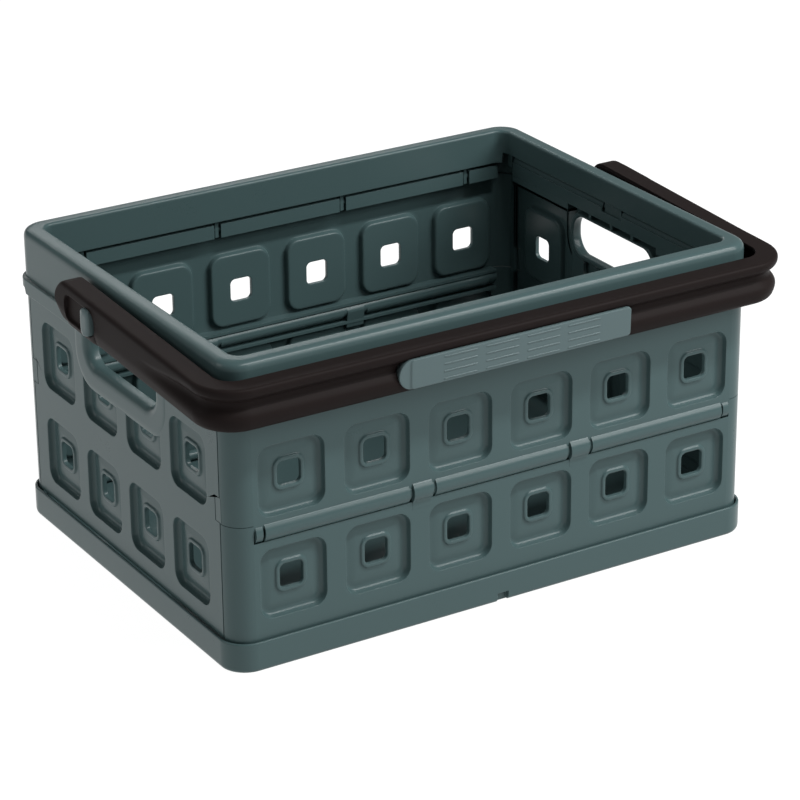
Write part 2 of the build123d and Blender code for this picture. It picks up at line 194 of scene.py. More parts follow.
class Shells:
    """Closed surfaces, in millimetres, that together make one mesh."""

    def __init__(self) -> None:
        """Starts with no surface."""
        self.points: list[np.ndarray] = []
        self.faces: list[list[int]] = []
        self.count = 0

    def add(self, points: np.ndarray, faces: list[list[int]]) -> None:
        """Adds one closed surface, turned so that it faces outwards.

        The sum over faces of corner . (edge x edge) is six times the enclosed volume, so a
        negative sum shows a surface that is inside out.

        Args:
            points: shape (N, 3).
            faces: corner numbers of each face.
        """
        fans = [(f[0], f[i], f[i + 1]) for f in faces for i in range(1, len(f) - 1)]
        corners = points[np.array(fans)]
        volume = np.einsum("ij,ij->", corners[:, 0], np.cross(corners[:, 1], corners[:, 2]))
        turned = [f[::-1] for f in faces] if volume < 0 else faces
        self.faces += [[i + self.count for i in f] for f in turned]
        self.points.append(points)
        self.count += len(points)

    def tube(self, grid: np.ndarray, ends: bool = True) -> None:
        """Adds loops stacked into a tube, each joined to the next by a ring of quads.

        Args:
            grid: the loops, shape (loops, points, 3).
            ends: whether flat ends close it; otherwise its last loop joins its first.
        """
        rows, columns = grid.shape[:2]
        index = np.arange(rows * columns).reshape(rows, columns)
        stack = index if ends else np.concatenate([index, index[:1]])
        near, far = stack[:-1], stack[1:]
        quads = np.stack([near, np.roll(near, -1, 1), np.roll(far, -1, 1), far], -1).reshape(-1, 4).tolist()
        if ends:
            quads += [index[0, ::-1].tolist(), index[-1].tolist()]
        self.add(grid.reshape(-1, 3), quads)

    def box(self, low: tuple, high: tuple) -> None:
        """Adds an upright block between two opposite corners."""
        loop = square_loop(low[:2], high[:2], 1)
        self.tube(np.stack([np.column_stack([loop, np.full(4, z)]) for z in (low[2], high[2])]))

    def rod(self, start: tuple, end: tuple, radius: float, sides: int = 32) -> None:
        """Adds a round bar between two points on one axis.

        Its two rings are radius times the cosine and the sine of the angle along two directions
        across the bar.

        Args:
            start: middle of one end.
            end: middle of the other end.
            radius: its radius.
            sides: sides of its section.
        """
        start, end = np.array(start, float), np.array(end, float)
        along = (end - start) / np.linalg.norm(end - start)
        across = np.roll(along, 1)
        third = np.cross(along, across)
        angle = np.linspace(0, 2 * math.pi, sides, endpoint=False)
        ring = radius * (np.cos(angle)[:, None] * across + np.sin(angle)[:, None] * third)
        self.tube(np.stack([ring + start, ring + end]))

    def turned(self) -> "Shells":
        """A copy of these surfaces turned half way round the upright axis.

        Returns:
            The copy, in which X and Y change sign.
        """
        other = Shells()
        other.points = [p * np.array([-1.0, -1.0, 1.0]) for p in self.points]
        other.faces, other.count = self.faces, self.count
        return other

    def mesh(self, name: str) -> bpy.types.Object:
        """Makes the object, smooth shaded, in metres.

        Args:
            name: the object's name.

        Returns:
            The new object, linked to the scene.
        """
        data = bpy.data.meshes.new(name)
        data.from_pydata((np.concatenate(self.points) * MM).tolist(), [], self.faces)
        data.polygons.foreach_set("use_smooth", np.ones(len(data.polygons), bool))
        data.update()
        piece = bpy.data.objects.new(name, data)
        bpy.context.scene.collection.objects.link(piece)
        return piece


class Slab:
    """A moulded plate of patches, each with a front and a back whose edges match."""

    def __init__(self) -> None:
        """Starts with no patch."""
        self.points: list[np.ndarray] = []
        self.quads: list[np.ndarray] = []
        self.fronts: list[np.ndarray] = []
        self.backs: list[np.ndarray] = []
        self.count = 0

    def _grid(self, grid: np.ndarray, around: bool, flip: bool) -> np.ndarray:
        """Adds one sheet and returns its point numbers.

        Args:
            grid: its points, shape (rows, columns, 3).
            around: whether the last column joins the first.
            flip: whether its faces point the other way.

        Returns:
            The points' numbers, shape (rows, columns).
        """
        index = np.arange(self.count, self.count + grid.shape[0] * grid.shape[1]).reshape(grid.shape[:2])
        wide = np.concatenate([index, index[:, :1]], 1) if around else index
        corners = [wide[:-1, :-1], wide[:-1, 1:], wide[1:, 1:], wide[1:, :-1]]
        self.quads.append(np.stack(corners[::-1] if flip else corners, -1).reshape(-1, 4))
        self.points.append(grid.reshape(-1, 3))
        self.count += index.size
        return index

    def pierced(self, loops: np.ndarray) -> None:
        """Adds a patch with a hole, as outlines from its front edge through the hole to its back edge.

        Args:
            loops: the outlines, shape (rows, N, 3).
        """
        index = self._grid(loops, True, False)
        self.fronts.append(index[0])
        self.backs.append(index[-1])

    def plain(self, front: np.ndarray, back: np.ndarray) -> None:
        """Adds a patch without a hole: matching front and back grids (rows, columns, 3)."""
        self.fronts.append(self._grid(front, False, False).ravel())
        self.backs.append(self._grid(back, False, True).ravel())

    def close(self, into: Shells) -> None:
        """Merges the patches' shared edges and walls up the rim between front and back.

        An edge whose reverse belongs to no face is on the rim; it is joined to the matching edge of
        the back.

        Args:
            into: the shells that receive the closed plate.
        """
        points = np.concatenate(self.points)
        _, first, merged = np.unique(np.round(points, 3), axis=0, return_index=True, return_inverse=True)
        merged = merged.ravel()
        points, quads = points[first], merged[np.concatenate(self.quads)]
        mate = np.full(len(points), -1)
        mate[merged[np.concatenate(self.fronts)]] = merged[np.concatenate(self.backs)]
        start, end = quads.ravel(), np.roll(quads, -1, axis=1).ravel()
        size = len(points)
        rim = ~np.isin(start * size + end, end * size + start) & (mate[start] >= 0) & (mate[end] >= 0)
        a, b = start[rim], end[rim]
        walls = np.stack([b, a, mate[a], mate[b]], 1)
        into.add(points, np.concatenate([quads, walls]).tolist())


def carved(piece: bpy.types.Object, cutter: Shells) -> None:
    """Cuts closed shapes out of a piece and removes the cutter.

    Args:
        piece: the piece, whose mesh is replaced by the cut one.
        cutter: what is taken away.
    """
    tool = cutter.mesh("cutter")
    cut = piece.modifiers.new("cut", "BOOLEAN")
    cut.operation, cut.solver, cut.object = "DIFFERENCE", "EXACT", tool
    cut.use_self = True
    graph = bpy.context.evaluated_depsgraph_get()
    result = bpy.data.meshes.new_from_object(piece.evaluated_get(graph))
    piece.modifiers.clear()
    piece.data = result
    bpy.data.objects.remove(tool)


# ------------------------------------------------------------------ finishes


class Wire:
    """A node's output; arithmetic on it adds Math nodes."""

    def __init__(self, graph: "Graph", socket: bpy.types.NodeSocket) -> None:
        """Wraps one output socket of a graph."""
        self.graph, self.socket = graph, socket

    def _math(self, operation: str, first: object, second: object) -> "Wire":
        """Adds one Math node."""
        return self.graph.node("ShaderNodeMath", {"operation": operation}, {0: first, 1: second})

    def __add__(self, other: object) -> "Wire":
        """This value plus the other."""
        return self._math("ADD", self, other)

    __radd__ = __add__

    def __sub__(self, other: object) -> "Wire":
        """This value minus the other."""
        return self._math("SUBTRACT", self, other)

    def __rsub__(self, other: object) -> "Wire":
        """The other minus this value."""
        return self._math("SUBTRACT", other, self)

    def __mul__(self, other: object) -> "Wire":
        """This value times the other."""
        return self._math("MULTIPLY", self, other)

    __rmul__ = __mul__


class Graph:
    """The node tree of one material."""

    def __init__(self, name: str) -> None:
        """Makes an empty material.

        Args:
            name: the material's name.
        """
        self.material = bpy.data.materials.new(name)
        self.material.use_nodes = True
        self.tree = self.material.node_tree
        self.tree.nodes.clear()

    def node(self, kind: str, settings: dict | None = None, inputs: dict | None = None, output: object = 0) -> Wire:
        """Adds a node, sets it up and wires it.

        Args:
            kind: the node's type.
            settings: properties to set before the sockets.
            inputs: a number, colour or Wire for each input socket, by name or number.
            output: which output to hand back.

        Returns:
            The chosen output.
        """
        node = self.tree.nodes.new(kind)
        for key, value in (settings or {}).items():
            setattr(node, key, value)
        for key, value in (inputs or {}).items():
            if isinstance(value, Wire):
                self.tree.links.new(value.socket, node.inputs[key])
            else:
                node.inputs[key].default_value = value
        return Wire(self, node.outputs[output]) if node.outputs else Wire(self, None)

    def finish(self, surface: Wire) -> bpy.types.Material:
        """Wires the surface to the material's output and returns the material."""
        self.node("ShaderNodeOutputMaterial", {}, {"Surface": surface})
        return self.material


@dataclass(frozen=True)
class MouldedPlastic:
    """Satin moulded polypropylene with a fine spark-eroded grain and slow, cloudy flow marks."""

    name: str
    colour: tuple[float, float, float]
    roughness: float = 0.29
    roughness_spread: float = 0.035
    mottle: float = 0.04
    cloud_per_metre: float = 14.0
    speckle_per_metre: float = 900.0
    speckle_share: float = 0.3
    grain_per_metre: float = 2600.0
    grain_height: float = 0.000009
    flow_height: float = 0.00006
    shine: float = 0.5
    index: float = 1.29

    def material(self) -> bpy.types.Material:
        """Builds the material: colour and gloss drift with the clouds, the grain and the flow raise the bump.

        Returns:
            The material.
        """
        graph = Graph(self.name)
        place = graph.node("ShaderNodeTexCoord", output="Object")

        def noise(scale: float, detail: float, roughness: float = 0.5) -> Wire:
            """A noise pattern with scale waves to the metre, in object coordinates."""
            inputs = {"Vector": place, "Scale": scale, "Detail": detail, "Roughness": roughness}
            return graph.node("ShaderNodeTexNoise", {}, inputs)

        clouds = noise(self.cloud_per_metre, 4.0, 0.6)
        speckle = noise(self.speckle_per_metre, 2.0, 0.7)
        grain = noise(self.grain_per_metre, 2.0)
        dark = tuple(c * (1 - self.mottle) for c in self.colour) + (1.0,)
        light = tuple(min(1.0, c * (1 + self.mottle)) for c in self.colour) + (1.0,)
        drift = clouds * (1 - self.speckle_share) + speckle * self.speckle_share
        colour = graph.node("ShaderNodeMix", {"data_type": "RGBA"}, {"Factor": drift, 6: dark, 7: light}, output=2)
        gloss = (clouds - 0.5) * (2 * self.roughness_spread) + (speckle - 0.5) * self.roughness_spread + self.roughness
        height = grain * self.grain_height + clouds * self.flow_height
        bump = graph.node("ShaderNodeBump", {}, {"Height": height, "Distance": 1.0, "Strength": 1.0})
        shader = graph.node(
            "ShaderNodeBsdfPrincipled",
            {},
            {
                "Base Color": colour,
                "Roughness": gloss,
                "Normal": bump,
                "IOR": self.index,
                "Specular IOR Level": self.shine,
            },
        )
        return graph.finish(shader)


FINISHES = {
    Slot.CRATE: MouldedPlastic("crate_grey_green", (0.047, 0.080, 0.082)),
    Slot.HANDLE: MouldedPlastic(
        "handle_brown_black", (0.0125, 0.0094, 0.0090), roughness=0.46, mottle=0.1, shine=0.12, index=1.22
    ),
    Slot.PAD: MouldedPlastic("pad_light_grey_green", (0.072, 0.106, 0.110), roughness=0.34),
}
EDGE_ROUND, EDGE_LIMIT = 0.45, 38.0
_made: dict[Slot, bpy.types.Material] = {}


def finish_of(slot: Slot) -> bpy.types.Material:
    """The one material of a slot, made when first asked for.

    Args:
        slot: the material slot.

    Returns:
        Its material.
    """
    if slot not in _made:
        _made[slot] = FINISHES[slot].material()
    return _made[slot]


def publish(
    piece: bpy.types.Object, body: Body, slot: Slot, nodes: tuple[str, ...] = (), bevel: float = EDGE_ROUND
) -> None:
    """Softens a piece's edges, dresses it and hands it to its body.

    Args:
        piece: the object.
        body: the body it rides on.
        slot: its material slot.
        nodes: the CAD nodes it stands for.
        bevel: edge rounding in millimetres, of edges between faces more than EDGE_LIMIT degrees apart.
    """
    if bevel:
        rounding = piece.modifiers.new("edges", "BEVEL")
        rounding.width, rounding.segments = bevel * MM, 2
        rounding.limit_method, rounding.angle_limit = "ANGLE", math.radians(EDGE_LIMIT)
        rounding.use_clamp_overlap = True
    normals = piece.modifiers.new("normals", "WEIGHTED_NORMAL")
    normals.mode, normals.weight, normals.keep_sharp = "FACE_AREA", 50, True
    piece.data.materials.clear()
    piece.data.materials.append(finish_of(slot))
    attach(piece, body.value)
    if nodes:
        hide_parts(*nodes)
    log.info("%s rides on %s, %d faces", piece.name, body.value, len(piece.data.polygons))


# ------------------------------------------------------------------ embossed squares


@dataclass
class EmbossedSquare:
    """One embossed square: a recess outside, a boss inside and a ringed eye through the middle."""

    mouth_u: float = 28.5
    mouth_v: float = 28.75
    mouth_corner: float = 11.0
    mouth_drop: float = 2.75
    boss_u: float = 29.0
    boss_v: float = 32.5
    boss_corner: float = 12.0
    eye: float = 10.0
    eye_corner: float = 4.4
    eye_drop: float = 0.7
    mouth_profile: tuple = (
        (2.4, 0.0), (0.8, 0.0), (0.25, 0.06), (0.0, 0.35), (-0.25, 1.6), (-0.55, 3.0), (-1.0, 4.2), (-1.8, 5.1),
        (-3.0, 5.6), (-4.6, 5.7), (-7.0, 5.35), (-10.0, 4.95),
    )
    ring_profile: tuple = (
        (5.6, 4.8), (4.4, 4.75), (3.8, 4.6), (3.4, 4.15), (3.1, 3.6), (2.6, 3.3), (1.6, 3.2), (0.7, 3.3),
        (0.2, 3.6), (0.0, 4.2), (0.0, 6.7), (0.15, 7.1), (0.6, 7.3), (1.6, 7.3),
    )
    boss_profile: tuple = (
        (-4.0, 7.3), (-2.6, 7.3), (-1.6, 7.15), (-0.9, 6.6), (-0.4, 5.6), (0.0, 4.2),
        (0.5, 3.0), (1.3, 2.6), (2.4, SKIN), (3.6, SKIN),
    )
    arc: int = 8
    straight: int = 4

    def segments(self) -> int:
        """Segments of each side of a cell."""
        return self.arc + self.straight

    def loops(self, centre: tuple, low: tuple, high: tuple) -> np.ndarray:
        """Stacks outlines from the cell's front edge through the eye to its back edge.

        Each row is a rounded rectangle grown or shrunk from the mouth, the eye or the boss by its
        spread, at its depth behind the outer face. A profile lists (spread, depth).

        Args:
            centre: middle of the square (u, v).
            low: lower left corner of the cell.
            high: upper right corner of the cell.

        Returns:
            Array (rows, N, 3) of u, v and depth.
        """
        cell = square_loop(low, high, self.segments())
        rows = [np.column_stack([cell, np.zeros(len(cell))])]
        groups = (
            (self.mouth_profile, self.mouth_u, self.mouth_v, self.mouth_corner, self.mouth_drop),
            (self.ring_profile, self.eye, self.eye, self.eye_corner, self.eye_drop),
            (self.boss_profile, self.boss_u, self.boss_v, self.boss_corner, 0.0),
        )
        for profile, half_u, half_v, corner, drop in groups:
            for spread, level in profile:
                loop = rounded_loop(half_u + spread, half_v + spread, corner + spread, self.arc, self.straight)
                rows.append(np.column_stack([loop + np.array(centre) - (0.0, drop), np.full(len(loop), level)]))
        rows.append(np.column_stack([cell, np.full(len(cell), SKIN)]))
        return np.stack(rows)


# ------------------------------------------------------------------ long walls


@dataclass
class LongWall:
    """One long wall in two halves that fold inwards, joined by snap-in hinge barrels."""

    pitch: float = 74.0
    flat_half: float = 218.0
    hinge_half: float = 217.6
    wrap_edge: float = 159.3
    lower_centre: float = 72.0
    upper_centre: float = 156.0
    lower_bottom: float = 11.5
    hinge_floor: float = 105.2
    seam_z: float = 120.0
    upper_bottom: float = 116.0
    upper_top: float = 207.5
    barrel_z: float = 114.0
    barrel_y: float = 170.0
    barrel_radius: float = 5.5
    cover_y: float = 170.2
    cover_z: float = 112.8
    cover_radius: float = 9.2
    cover_end: float = 209.2
    clips: tuple[float, float] = (-72.0, 72.0)
    clip_half: float = 8.4
    ledge_back: float = 165.0
    tray_hinge_z: float = 13.5
    tray_barrel_radius: float = 4.5
    tray_lug_gap: float = 5.5
    frame_hinge_y: float = 168.5
    frame_hinge_z: float = 214.5
    frame_lug_gap: float = 3.2

    def place(self, s: np.ndarray, z: np.ndarray, depth: np.ndarray) -> np.ndarray:
        """Carries a point of the unrolled wall to its place on the crate.

        Up to the flat's end the run s is X; beyond it the wall turns on an arc about the corner's
        centre, of radius WALL_CORNER less the depth.

        Args:
            s: run along the wall from its middle.
            z: height.
            depth: distance behind the outer face.

        Returns:
            Points, with one more axis of 3.
        """
        over = np.maximum(np.abs(s) - self.flat_half, 0.0) / WALL_CORNER
        radius = WALL_CORNER - depth
        x = np.sign(s) * (np.minimum(np.abs(s), self.flat_half) + radius * np.sin(over))
        y = -(WALL_Y - WALL_CORNER) - radius * np.cos(over)
        return np.stack([x, y, z + 0 * s], -1)

    def half(self, centre_z: float, flat: tuple, corner: tuple, hinge_z: float) -> Slab:
        """Makes one half's plate: six squares and a plain wrap round each corner.

        Args:
            centre_z: height of the squares' middles.
            flat: bottom and top of the flat part.
            corner: bottom and top of the wraps.
            hinge_z: the height where the wraps go on past the flat part.

        Returns:
            The open slab.
        """
        slab = Slab()
        square = EmbossedSquare()
        for i in range(6):
            u = self.pitch * (i - 2.5)
            low, high = max(u - self.pitch / 2, -self.flat_half), min(u + self.pitch / 2, self.flat_half)
            loops = square.loops((u, centre_z), (low, flat[0]), (high, flat[1]))
            slab.pierced(self.place(loops[..., 0], loops[..., 1], loops[..., 2]))
        levels = np.linspace(flat[0], flat[1], square.segments() + 1)
        tall = np.unique(np.round(np.concatenate([levels, [corner[0], corner[1], hinge_z]]), 4))
        turn_end = math.acos((self.wrap_edge - (WALL_Y - WALL_CORNER)) / WALL_CORNER) * WALL_CORNER
        step = math.asin((self.hinge_half + 0.5 - self.flat_half) / WALL_CORNER) * WALL_CORNER
        for side in (-1, 1):
            for runs, heights in (
                (np.linspace(0, step, 3), levels),
                (np.linspace(step, turn_end, 11), tall[(tall >= corner[0]) & (tall <= corner[1])]),
            ):
                s, z = np.meshgrid(side * (self.flat_half + runs), heights)
                if side < 0:
                    s = s[:, ::-1]
                slab.plain(self.place(s, z, 0 * s), self.place(s, z, 0 * s + SKIN))
        return slab

    def cover(self, shells: Shells, start: float, end: float, radius: float, rooted: bool = False) -> None:
        """Adds a stretch of the mid hinge's round cover, whose axis lies behind the wall.

        Around the cover the face is radius times the cosine of the angle in front of the axis and
        radius times its sine above it. A rooted stretch also runs down over the lower half.

        Args:
            shells: where it goes.
            start: X of one end.
            end: X of the other end.
            radius: its radius.
            rooted: whether it grows out of the lower half.
        """
        angle = np.linspace(math.radians(-46 if rooted else -78), math.radians(66), 25)
        face = np.column_stack([-self.cover_y - radius * np.cos(angle), self.cover_z + radius * np.sin(angle)])
        root = [[-WALL_Y - 0.15, 99.0], [-WALL_Y - 0.15, 103.0]] if rooted else []
        turn = np.linspace(math.radians(100), math.radians(180 if rooted else 255), 10)
        inner = 0.64 * radius * np.column_stack([-np.cos(turn), np.sin(turn)]) + (-self.cover_y, self.cover_z)
        foot = [[-166.0, 99.0]] if rooted else []
        outline = np.array(root + face.tolist() + inner.tolist() + foot)
        loops = [np.column_stack([np.full(len(outline), x), outline]) for x in (start, end)]
        shells.tube(np.stack(loops))

    def ledge(self, shells: Shells, sink: float, back: float, bottom: float, top: float) -> None:
        """Adds a bar along the wall, from sink millimetres inside its face back to the distance back."""
        shells.box((-self.hinge_half, sink - WALL_Y, bottom), (self.hinge_half, -back, top))

    def lower(self) -> Shells:
        """The lower half with its tray barrels, mid ledge and two hinge clips.

        Returns:
            Its surfaces.
        """
        shells = Shells()
        flat, corner = (self.lower_bottom, self.hinge_floor), (self.lower_bottom, self.seam_z)
        self.half(self.lower_centre, flat, corner, self.hinge_floor).close(shells)
        y, z = -self.barrel_y, self.tray_hinge_z
        for start, end in gaps(self.hinge_half, HINGE_LUGS, self.tray_lug_gap):
            shells.rod((start, y, z), (end, y, z), self.tray_barrel_radius)
        shells.rod((-self.hinge_half, y, z), (self.hinge_half, y, z), PIN_RADIUS, PIN_SIDES)
        self.ledge(shells, 1.0, self.ledge_back, self.hinge_floor - 2.5, self.hinge_floor)
        for column in self.clips:
            low, high = column - self.clip_half, column + self.clip_half
            self.cover(shells, low, high, self.cover_radius + 0.8, rooted=True)
        return shells

    def upper(self) -> Shells:
        """The upper half with its barrel, ledge, hinge strip to the frame and end tabs.

        Returns:
            Its surfaces.
        """
        shells = Shells()
        shoulder = self.seam_z + 0.5
        flat, corner = (self.upper_bottom, self.upper_top), (shoulder, self.upper_top)
        self.half(self.upper_centre, flat, corner, shoulder).close(shells)
        for start, end in gaps(self.cover_end, self.clips, self.clip_half + 0.8):
            neck_start, neck_end = start + 2.6 * (start > -200), end - 2.6 * (end < 200)
            self.cover(shells, neck_start, neck_end, self.cover_radius)
            self.cover(shells, start, end, self.cover_radius - 1.6)
        for side in (-1, 1):
            near, far = span(side, self.cover_end + 1.8, self.hinge_half - 0.8)
            self.cover(shells, near, far, self.cover_radius - 0.6)
        y, z = -self.barrel_y, self.barrel_z
        shells.rod((-self.hinge_half, y, z), (self.hinge_half, y, z), self.barrel_radius)
        self.ledge(shells, 1.0, self.ledge_back, 119.0, 121.5)
        self.ledge(shells, 0.5, WALL_Y - 3.0, 199.0, 204.0)
        for start, end in gaps(self.hinge_half, HINGE_LUGS, self.frame_lug_gap):
            shells.box((start, -175.0, 207.6), (end, -163.5, 219.5))
        y, z = -self.frame_hinge_y, self.frame_hinge_z
        shells.rod((-self.hinge_half, y, z), (self.hinge_half, y, z), PIN_RADIUS, PIN_SIDES)
        for side in (-1, 1):
            near, far = span(side, WALL_X - SKIN, WALL_X)
            shells.box((near, -160.5, 121.0), (far, -152.5, 141.0))
        return shells

    def build(self) -> None:
        """Makes the four wall halves, the back ones turned half way round."""
        lower, upper = self.lower(), self.upper()
        for name, shells in (
            ("front_lower", lower),
            ("front_upper", upper),
            ("back_lower", lower.turned()),
            ("back_upper", upper.turned()),
        ):
            publish(shells.mesh(f"{name}_wall"), Body.CRATE, Slot.CRATE, (f"{name}_panel",))


# ------------------------------------------------------------------ top frame


@dataclass
class TopFrame:
    """The frame: rolled rim, outer skirt on a stepped band, and inner skirt."""

    skirt_inset: float = 3.0
    rim_width: float = 15.3
    rim_round: float = 7.5
    rim_edge: float = 2.8
    band_top: float = 211.0
    band_bottom: float = 203.0
    end_band_bottom: float = 198.0
    long_skirt_bottom: float = 222.3
    end_skirt_bottom: float = 231.5
    inner_corner: float = 10.0
    lug_half: float = 1.6
    end_lug_bottom: float = 219.5
    pivot_block_half: float = 12.0

    def corner_at(self, inset: float) -> float:
        """Corner radius at an inset: CORNER less the inset down to the skirt, then evenly to the inner corner.

        Args:
            inset: distance inside the outer outline.

        Returns:
            The radius.
        """
        outer = CORNER - self.skirt_inset
        if inset <= self.skirt_inset:
            return CORNER - inset
        share = (inset - self.skirt_inset) / self.rim_width
        return outer + share * (self.inner_corner - outer)

    def ring(self) -> Shells:
        """The frame's moulding, its section carried round the rounded rectangle of the plan.

        A section point of inset i at station m lies on the m-th point of the rounded rectangle
        shrunk by i; only its height changes from the long sides to the ends.

        Returns:
            The closed ring.
        """
        plan = rounded_loop(HALF_X, HALF_Y, CORNER, PLAN_ARC, PLAN_STRAIGHT)
        at_end = (np.abs(plan[:, 1]) <= HALF_Y - CORNER + 0.01) & (np.abs(plan[:, 0]) > HALF_X - 1)
        near_end = np.abs(plan[:, 0]) - HALF_X > np.abs(plan[:, 1]) - HALF_Y
        low = np.where(at_end, self.end_band_bottom, self.band_bottom)
        skirt = np.where(near_end, self.end_skirt_bottom, self.long_skirt_bottom)
        one = np.ones(len(plan))
        inner = self.skirt_inset + self.rim_width
        corners = [
            (0.0, low, 0.7),
            (0.0, self.band_top * one, 1.6),
            (self.skirt_inset, (self.band_top + 0.4) * one, 0.9),
            (self.skirt_inset, HEIGHT * one, self.rim_round),
            (inner, HEIGHT * one, self.rim_edge),
            (inner, skirt, 0.8),
            (inner - SKIN, skirt, 0.8),
            (inner - SKIN, (UNDER_RIM - 1) * one, 3.0),
            (self.skirt_inset + SKIN, (UNDER_RIM - 1) * one, 3.0),
            (self.skirt_inset + SKIN, (self.band_top - 2) * one, 0.6),
            (SKIN, (self.band_top - 2) * one, 0.6),
            (SKIN, low, 0.7),
        ]
        keys = np.stack([np.stack([inset * one, z], -1) for inset, z, _ in corners], 1)
        section = rounded_section(keys, np.array([c[2] for c in corners]), 6)
        loops = []
        for p in range(section.shape[1]):
            inset = section[0, p, 0]
            loop = rounded_loop(HALF_X - inset, HALF_Y - inset, self.corner_at(inset), PLAN_ARC, PLAN_STRAIGHT)
            loops.append(np.column_stack([loop, section[:, p, 1]]))
        shells = Shells()
        shells.tube(np.stack(loops), ends=False)
        return shells

    def build(self) -> None:
        """Makes the ring, the hinge lugs of the long sides and ends, and the handle's pivot blocks."""
        shells = self.ring()
        for side in (-1, 1):
            near, far = span(side, 165.2, 176.0)
            for column in HINGE_LUGS:
                shells.box((column - self.lug_half, near, 207.8), (column + self.lug_half, far, UNDER_RIM))
            near, far = span(side, 224.0, 236.0)
            for edge in (-1, 1):
                low, high = span(edge, 150.5, 156.5)
                shells.box((near, low, self.end_lug_bottom), (far, high, UNDER_RIM))
            near, far = span(side, 226.0, 236.0)
            half = self.pivot_block_half
            shells.box((near, -half, self.end_lug_bottom - 0.5), (far, half, UNDER_RIM))
        publish(shells.mesh("top_frame_moulding"), Body.CRATE, Slot.CRATE, ("top_frame",))


# ------------------------------------------------------------------ tray


@dataclass
class BaseTray:
    """The tray: a low rounded rim round a floor that stands on crossed ribs."""

    height: float = 25.0
    floor_top: float = 8.5
    floor_bottom: float = 6.0
    rib: float = 4.0
    notch: float = 10.0
    notch_height: float = 8.0
    rib_pitch: float = 74.0
    cross_ribs: tuple[float, ...] = (-84.0, 0.0, 84.0)
    rib_clearance: float = 7.5
    lug_half: float = 5.0
    lug_top: float = 18.5

    def build(self) -> None:
        """Stacks the tray's outlines from under the floor round the rim to the top of the floor."""
        outlines = [
            (12.0, self.floor_bottom), (9.0, self.floor_bottom), (8.4, self.floor_bottom - 0.5), (8.0, 1.0), (7.4, 0.0),
            (4.5, 0.0), (2.6, 0.25), (1.2, 1.0), (0.4, 2.2), (0.0, 4.0), (0.0, self.height - 2.0),
            (0.0, self.height - 1.0), (0.25, self.height - 0.35), (0.8, self.height), (1.6, self.height),
            (2.1, self.height - 0.3), (2.4, self.height - 1.0), (2.5, self.floor_top + 2.0),
            (3.2, self.floor_top + 0.6), (4.8, self.floor_top), (9.0, self.floor_top),
        ]
        loops = []
        for inset, z in outlines:
            loop = rounded_loop(HALF_X - inset, HALF_Y - inset, CORNER - inset, PLAN_ARC, PLAN_STRAIGHT)
            loops.append(np.column_stack([loop, np.full(len(loop), z)]))
        shells = Shells()
        shells.tube(np.stack(loops))
        piece = shells.mesh("tray_moulding")
        cutter = Shells()
        for side in (-1, 1):
            low, high = span(side, HALF_Y - 4, HALF_Y + 3)
            cutter.box((-self.notch / 2, low, -1.0), (self.notch / 2, high, self.notch_height))
        carved(piece, cutter)
        publish(piece, Body.CRATE, Slot.CRATE, ("base_tray",))
        extras = Shells()
        half, top = self.rib / 2, self.floor_bottom + 1
        reach_x, reach_y = HALF_X - self.rib_clearance, HALF_Y - self.rib_clearance
        for x in self.rib_pitch * np.arange(-2, 3):
            extras.box((x - half, -reach_y, 0.0), (x + half, reach_y, top))
        for y in self.cross_ribs:
            extras.box((-reach_x, y - half, 0.0), (reach_x, y + half, top))
        for side in (-1, 1):
            near, far = span(side, 164.5, 175.5)
            for column in HINGE_LUGS:
                low, high = column - self.lug_half, column + self.lug_half
                extras.box((low, near, self.floor_top - 1), (high, far, self.lug_top))
        publish(extras.mesh("tray_ribs_and_lugs"), Body.CRATE, Slot.CRATE)


# ------------------------------------------------------------------ end panels


